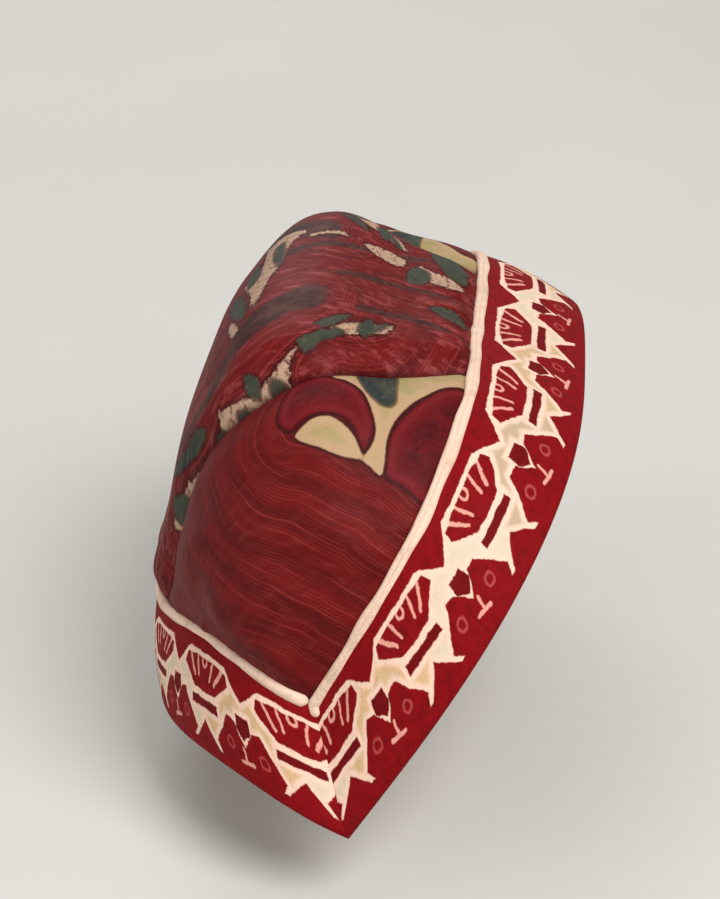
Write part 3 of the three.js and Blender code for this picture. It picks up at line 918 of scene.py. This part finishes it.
def band_ground(finish, place, along, ink):
    """The cream ground: pale beside the ink, and of another tint in each repeat's open patches."""
    repeat = along.math("FLOOR")
    patch = finish.node("ShaderNodeTexWhiteNoise", {"noise_dimensions": "1D"}, {"W": repeat})
    ground = finish.mix(PATCH_WHITE, PATCH_YELLOW, patch.step(0.3, 0.62))
    ground = finish.mix(ground, PATCH_GREY, patch.step(0.7, 0.9) * 0.8)
    ground = finish.mix(PRINT_CREAM, ground, ink.step(0.5, 1.5))
    soil = finish.noise(place, 0.12, 4.0, 0.65)
    return finish.mix(ground, PATCH_GREY, soil.step(0.5, 0.8) * 0.45)


def band_print():
    """Printed cotton for the bands: red figures on cream, with softly bled edges."""
    finish = Finish("band_print")
    along, across, inside = finish.attribute("cloth")
    run, _, _ = finish.attribute("run")
    place = finish.vector(along * REPEAT, across, inside * LAYER_APART)
    wander = finish.noise(place, 0.28, 3.0, 0.6, output=1)
    drift = [finish.node("ShaderNodeSeparateColor", {}, {0: wander}, output=k) - 0.5 for k in range(2)]
    ragged = finish.noise(place, 1.1, 2.0) - 0.5
    height = abs(across).scaled(1.0, drift[1] * 1.1)
    repeats = along + drift[0] * (1.4 / REPEAT)
    side = abs((repeats + 0.5).fraction() - 0.5) * REPEAT
    slant = (repeats.fraction() - 0.5) * REPEAT
    dark, ink, eyes, marks = band_figures(side, height, slant)

    cloudy = finish.noise(place, 0.45, 4.0, 0.7)
    colour = finish.mix(INK, INK_DARK_AND_SHADE, cloudy.step(0.42, 0.75) * 0.75)
    colour = finish.mix(colour, INK_DARK_AND_SHADE, dark.step(0.3, -0.3) * 0.6)
    colour = finish.mix(colour, INK_WORN, finish.noise(place, 3.2, 2.0).step(0.58, 0.78) * 0.3)
    colour = finish.mix(colour, RING_PINK, (eyes + ragged * 0.4).step(0.2, -0.16) * 0.55)
    colour = finish.mix(colour, MARK_PINK, (marks + ragged * 0.3).step(0.16, -0.12) * 0.9)
    printed = (ink + ragged * 0.3).step(0.14, -0.14)
    face = finish.mix(band_ground(finish, place, along, ink), colour, printed)

    plain = inside * abs(across).step(HEM_WIDTH, HEM_WIDTH + HEM_EDGE)
    face = finish.mix(face, REVERSE, plain * 0.86)
    threads = weave(finish, run, across, 0.42)
    # Painted shade in the gaps between the threads of the weave
    face = finish.mix(face, INK_DARK_AND_SHADE, (1 - threads) * 0.12)
    slub = finish.noise(finish.vector(run * 0.2, across * 2.2, inside), 1.0, 3.0)
    relief = threads * 0.035 + slub * 0.05 + finish.noise(place, 0.35, 3.0) * 0.35
    finish.set(base_color=face, roughness=cloudy.scaled(0.12, 0.68), normal=finish.bump(relief))
    finish.surface.inputs["Specular IOR Level"].default_value = CLOTH_SHINE
    return finish.material


# The colours of the chintz
CHINTZ = srgb(98, 10, 10)
CHINTZ_DARK = srgb(64, 5, 6)
CHINTZ_LINE = srgb(132, 40, 36)
CHINTZ_PINK = srgb(150, 70, 68)
PETAL = srgb(94, 8, 15)
PETAL_DARK = srgb(66, 5, 10)
PETAL_FLECK = srgb(126, 38, 42)
CHINTZ_CREAM = srgb(172, 140, 106)
CHINTZ_STRAW = srgb(150, 134, 88)
STRIP_CREAM = srgb(172, 140, 116)
STRIP_SHADE = srgb(112, 78, 62)
# Dark outlines of the print, also used for painted shade at the seams and between the threads
OUTLINE_AND_SHADE = srgb(50, 7, 8)
LEAF = srgb(58, 61, 48)
LEAF_BLUE = srgb(40, 47, 46)
LEAF_PALE = srgb(100, 98, 82)
STEM = srgb(76, 44, 36)
STEM_DARK = srgb(42, 22, 18)


def stripes(value, pitch):
    """The distance, in mm, from the middle between two of the lines at this pitch."""
    return abs((value / pitch).fraction() - 0.5) * pitch


def flowing_lines(finish, x, y, flow, wander, cloudy):
    """The dark red ground, with lines side by side round a figure, now strong and now faint."""
    contour = flow + wander * 2.0
    strong = finish.noise(finish.vector(x * 0.05, y * 0.05, contour * 0.5), 1.0, 2.0)
    faint = finish.noise(finish.vector(x * 0.12, y * 0.12, contour * 0.9), 1.0, 2.0)
    colour = finish.mix(CHINTZ, CHINTZ_DARK, stripes(contour, 6.4).step(0.6, 2.8) * 0.5)
    colour = finish.mix(colour, CHINTZ_DARK, cloudy.step(0.46, 0.78) * 0.7)
    lines = stripes(contour, 1.8).step(0.34, 0.04) * strong.step(0.44, 0.7) * 0.6
    colour = finish.mix(colour, CHINTZ_LINE, lines)
    hairs = stripes(contour, 0.6).step(0.2, 0.04) * faint.step(0.4, 0.66) * 0.4
    return finish.mix(colour, CHINTZ_LINE, hairs)


def with_petals(finish, colour, petal, ragged, cloudy, flecks):
    """Dark red petals with a darker outline."""
    petals = finish.mix(PETAL, PETAL_DARK, petal.step(1.0, 5.0) * cloudy.step(0.3, 0.6))
    petals = finish.mix(petals, PETAL_FLECK, flecks.step(0.54, 0.76) * 0.4)
    petals = finish.mix(petals, PETAL_FLECK, petal.step(2.4, 1.2) * petal.step(0.5, 1.0) * 0.22)
    colour = finish.mix(colour, petals, (petal + ragged * 0.4).step(-0.2, 0.2))
    return finish.mix(colour, OUTLINE_AND_SHADE, abs(petal + ragged * 0.3).step(0.5, 0.2) * 0.85)


def with_stems(finish, colour, stem, ragged, x, y, flow):
    """Brown stems, streaked along their length."""
    streaks = finish.noise(finish.vector(x * 0.3, y * 0.3, flow * 1.6), 1.0, 3.0, 0.6)
    stems = finish.mix(STEM, STEM_DARK, streaks.step(0.36, 0.6))
    stems = finish.mix(stems, LEAF_PALE, streaks.step(0.62, 0.76) * 0.4)
    return finish.mix(colour, stems, (stem + ragged * 2.4).step(-0.7, 0.7) * 0.9)


def with_creams(finish, colour, cream, ragged, cloudy, flecks, strip):
    """Cream figures: smooth on the side panels, and torn and mottled on the gore's strips."""
    torn = ragged * (0.4 + strip * 2.6) - strip * 0.45
    straw = finish.mix(CHINTZ_CREAM, CHINTZ_STRAW, cream.step(0.8, 2.6) * cloudy.step(0.3, 0.6))
    mottled = finish.mix(STRIP_CREAM, STRIP_SHADE, flecks.step(0.5, 0.66))
    straw = finish.mix(straw, mottled, strip)
    colour = finish.mix(colour, OUTLINE_AND_SHADE, (cream + torn).step(-0.8, -0.3) * 0.8)
    return finish.mix(colour, straw, (cream + torn).step(-0.2, 0.2))


def with_leaves(finish, colour, leaf, ragged, cloudy, place, strip):
    """Grey-green leaves with a dark outline."""
    veins = finish.noise(place, 1.1, 3.0)
    leaves = finish.mix(LEAF, LEAF_BLUE, cloudy.step(0.38 + strip * 0.1, 0.6 + strip * 0.1))
    leaves = finish.mix(leaves, LEAF_PALE, veins.step(0.56, 0.74) * 0.5)
    jagged = ragged * (0.5 + strip * 1.6)
    colour = finish.mix(colour, OUTLINE_AND_SHADE, (leaf + jagged).step(-0.6, -0.1) * 0.75)
    return finish.mix(colour, leaves, (leaf + jagged).step(-0.1, 0.3))


def chintz(name, ground_pink, strip):
    """Painted and glazed cotton: flowers, leaves and fine flowing lines on a dark red ground.

    ground_pink is how much paler pink the ground has, and strip is 1 for the gore and 0 for a panel.
    """
    finish = Finish(name)
    x, y, inside = finish.attribute("cloth")
    cream, leaf, stem = finish.attribute("figures")
    flow, petal, _ = finish.attribute("ground")
    edge, _, _ = finish.attribute("edge")
    place = finish.vector(x, y, inside * LAYER_APART)
    wander = finish.noise(place, 0.07, 1.0) - 0.5
    ragged = (finish.noise(place, 1.2, 3.0, 0.6) - 0.5) * 0.8
    cloudy = finish.noise(place, 0.22, 4.0, 0.65)
    grain = finish.noise(place, 2.4, 3.0, 0.7)
    flecks = finish.noise(finish.vector(x * 1.6, y * 0.7, 3.0), 1.1, 3.0, 0.7)
    pink = finish.noise(finish.vector(x * 0.5, y * 1.3, flow * 0.3), 0.5, 4.0, 0.7)

    colour = flowing_lines(finish, x, y, flow, wander, cloudy)
    colour = finish.mix(colour, CHINTZ_PINK, pink.step(0.47, 0.72) * ground_pink)
    colour = finish.mix(colour, CHINTZ_LINE, grain.step(0.56, 0.8) * 0.18)
    colour = with_petals(finish, colour, petal, ragged, cloudy, flecks)
    colour = with_stems(finish, colour, stem, ragged, x, y, flow)
    colour = with_creams(finish, colour, cream, ragged, cloudy, flecks, strip)
    colour = with_leaves(finish, colour, leaf, ragged, cloudy, place, strip)

    colour = finish.mix(colour, REVERSE, inside * 0.82)
    # Painted shade: darker within a few millimetres of each edge, where the piece turns down into its
    # seam, with some soiling there too
    colour = finish.mix(colour, OUTLINE_AND_SHADE, edge.step(2.6, 0.4) * 0.75)
    threads = weave(finish, x, y, 0.36)
    # Painted shade in the gaps between the threads of the weave
    colour = finish.mix(colour, OUTLINE_AND_SHADE, (1 - threads) * 0.1)
    relief = threads * 0.02 + grain * 0.03 + finish.noise(place, 0.3, 4.0) * 0.45
    finish.set(base_color=colour, roughness=cloudy.scaled(0.15, 0.5), normal=finish.bump(relief))
    finish.surface.inputs["Specular IOR Level"].default_value = CLOTH_SHINE
    return finish.material


# The colours of the edging
EDGING_PALE = srgb(224, 190, 168)
# A darker cream, used for soiling and for painted shade between the threads
EDGING_SOIL_AND_SHADE = srgb(180, 146, 118)
EDGING_GREY = srgb(176, 160, 142)


def edging_cloth():
    """A narrow strip of cream cotton, rolled round and a little soiled."""
    finish = Finish("edging")
    run, angle, _ = finish.attribute("cloth")
    place = finish.vector(run, angle.math("SINE"), angle.math("COSINE"))
    soil = finish.noise(place, 0.16, 4.0, 0.65)
    colour = finish.mix(EDGING_PALE, EDGING_SOIL_AND_SHADE, soil.step(0.45, 0.75) * 0.6)
    colour = finish.mix(colour, EDGING_GREY, finish.noise(place, 0.5, 3.0).step(0.52, 0.76) * 0.5)
    threads = abs((run * 7.0).math("SINE"))
    # Painted shade in the grooves between the threads
    colour = finish.mix(colour, EDGING_SOIL_AND_SHADE, (1 - threads) * 0.15)
    relief = threads * 0.03 + finish.noise(place, 0.9, 3.0) * 0.2
    finish.set(base_color=colour, roughness=soil.scaled(0.1, 0.75), normal=finish.bump(relief))
    return finish.material


FLOOR_PALE = srgb(198, 195, 189)
FLOOR_SHADE = srgb(190, 187, 180)


def floor_finish():
    """A plain pale ground."""
    finish = Finish("floor")
    where = finish.node("ShaderNodeTexCoord", {}, {}, output="Object")
    mottle = finish.noise(where, 9.0, 3.0)
    finish.set(base_color=finish.mix(FLOOR_SHADE, FLOOR_PALE, mottle), roughness=0.85)
    return finish.material


# The camera stands where the photograph was taken from, and looks at the cap's middle.
CAMERA_PLACE = Vector((55.9, -459.1, 265.1)) * MM
CAMERA_AIM = Vector((0.0, 0.0, 42.0)) * MM
CAMERA_ROLL = math.radians(5.4)
CAMERA_LENS = 106.8

# The floor and the light: lamps as name, place and size in metres, and power in watts
FLOOR_DROP = 15.0  # how far the floor lies below the ear corners
FLOOR_SIZE = 6
WORLD_COLOUR = srgb(222, 224, 224)
WORLD_STRENGTH = 0.55
LAMPS = (
    ("key", (0.45, -0.55, 0.75), 0.5, 11),
    ("fill", (-0.7, -0.5, 0.4), 0.9, 3),
    ("back", (-0.2, 0.7, 0.6), 0.6, 3),
)


def facing_the_cap(place):
    """The place and turn of something that looks at the cap's middle."""
    look = (CAMERA_AIM - place).to_track_quat("-Z", "Y").to_matrix().to_4x4()
    return Matrix.Translation(place) @ look


def make_camera():
    camera = bpy.data.objects.new("camera", bpy.data.cameras.new("camera"))
    bpy.context.collection.objects.link(camera)
    camera.matrix_world = facing_the_cap(CAMERA_PLACE) @ Matrix.Rotation(-CAMERA_ROLL, 4, "Z")
    camera.data.lens = CAMERA_LENS
    camera.data.clip_start = 0.01
    bpy.context.scene.camera = camera


def soft_light(name, place, size, power):
    light = bpy.data.lights.new(name, "AREA")
    light.shape = "DISK"
    light.size = size
    light.energy = power
    lamp = bpy.data.objects.new(name, light)
    bpy.context.collection.objects.link(lamp)
    lamp.matrix_world = facing_the_cap(Vector(place))


def make_stage():
    """The floor below the cap, the studio's soft light and its lamps."""
    bpy.ops.object.select_all(action="DESELECT")
    bpy.ops.mesh.primitive_plane_add(size=FLOOR_SIZE, location=(0, 0, -FLOOR_DROP * MM))
    floor = bpy.context.object
    floor.name = "floor"
    bpy.ops.object.transform_apply(location=True, rotation=True, scale=True)
    floor.data.materials.append(floor_finish())
    world = bpy.data.worlds.new("studio")
    world.use_nodes = True
    background = world.node_tree.nodes["Background"]
    background.inputs["Color"].default_value = WORLD_COLOUR
    background.inputs["Strength"].default_value = WORLD_STRENGTH
    bpy.context.scene.world = world
    for lamp in LAMPS:
        soft_light(*lamp)


make_camera()
make_stage()

gore = crown_gore("gore_cloth")
panel_right = side_panel("right_panel_cloth", left=False)
panel_left = side_panel("left_panel_cloth", left=True)
front = band("front_band_cloth", front_rim, 0.0, FRONT_PALMETTES)
nape = band("nape_band_cloth", nape_rim, 1.0, NAPE_PALMETTES)
front_edge = edging("front_edging_strip", 0.0, short=0.0, tail=True)
nape_edge = edging("nape_edging_strip", 1.0, short=EDGING_SHORT, tail=False)

gore_finish = chintz("gore_chintz", ground_pink=0.7, strip=1.0)
panel_finish = chintz("panel_chintz", ground_pink=0.1, strip=0.0)
band_finish = band_print()
edging_finish = edging_cloth()
DRESSED = (
    (gore, gore_finish, "chintz", "crown_gore"),
    (panel_right, panel_finish, "chintz", "side_panel_right"),
    (panel_left, panel_finish, "chintz", "side_panel_left"),
    (front, band_finish, "band_print", "front_band"),
    (nape, band_finish, "band_print", "nape_band"),
    (front_edge, edging_finish, "edging", "front_edging"),
    (nape_edge, edging_finish, "edging", "nape_edging"),
)
for piece, finish, slot, node in DRESSED:
    piece.data.materials.clear()
    piece.data.materials.append(finish)
    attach(piece, "root")
    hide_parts(node)

bpy.context.scene.view_settings.view_transform = "Standard"
